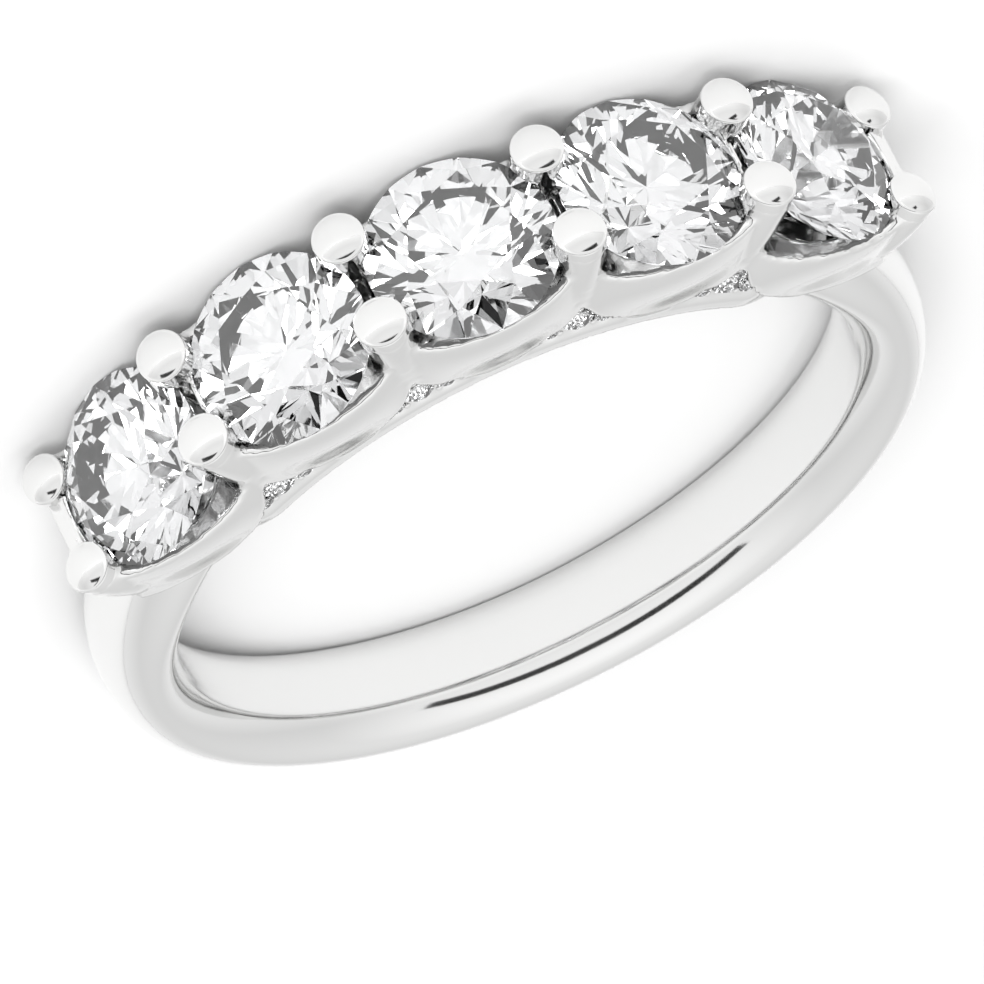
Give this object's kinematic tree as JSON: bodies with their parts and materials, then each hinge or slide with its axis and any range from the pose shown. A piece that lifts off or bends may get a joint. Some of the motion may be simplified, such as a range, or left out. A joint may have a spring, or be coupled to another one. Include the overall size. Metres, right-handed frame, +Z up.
{
  "type": "half eternity ring",
  "caption": "Finger ring with a rounded band and a scalloped claw setting that carries a row of round stones along its front.",
  "frame": {"origin": "centre of the finger hole, on its axis and half way along its wall", "axes": "the ring lies on its side: +Z is up, +Y runs from the finger hole to the middle stone of the row, and +X runs along the row; the finger axis leans 2.5 degrees from +Z, so that the end stones and the base of the band touch one level surface"},
  "size_m": [0.0208, 0.023, 0.0045],
  "materials": {
    "white_gold": "polished",
    "main_diamond": "faceted and polished",
    "accent_diamond": "faceted and polished"
  },
  "bodies": {
    "root": {"band_and_setting": "white_gold", "main_stone_1": "main_diamond", "main_stone_2": "main_diamond", "main_stone_3": "main_diamond", "main_stone_4": "main_diamond", "main_stone_5": "main_diamond", "accent_stone_01": "accent_diamond", "accent_stone_02": "accent_diamond", "accent_stone_03": "accent_diamond", "accent_stone_04": "accent_diamond", "accent_stone_05": "accent_diamond", "accent_stone_06": "accent_diamond", "accent_stone_07": "accent_diamond", "accent_stone_08": "accent_diamond", "accent_stone_09": "accent_diamond", "accent_stone_10": "accent_diamond", "accent_stone_11": "accent_diamond", "accent_stone_12": "accent_diamond", "accent_stone_13": "accent_diamond", "accent_stone_14": "accent_diamond", "accent_stone_15": "accent_diamond", "accent_stone_16": "accent_diamond", "accent_stone_17": "accent_diamond", "accent_stone_18": "accent_diamond", "accent_stone_19": "accent_diamond", "accent_stone_20": "accent_diamond", "accent_stone_21": "accent_diamond", "accent_stone_22": "accent_diamond", "accent_stone_23": "accent_diamond", "accent_stone_24": "accent_diamond"}
  },
  "joints": []
}
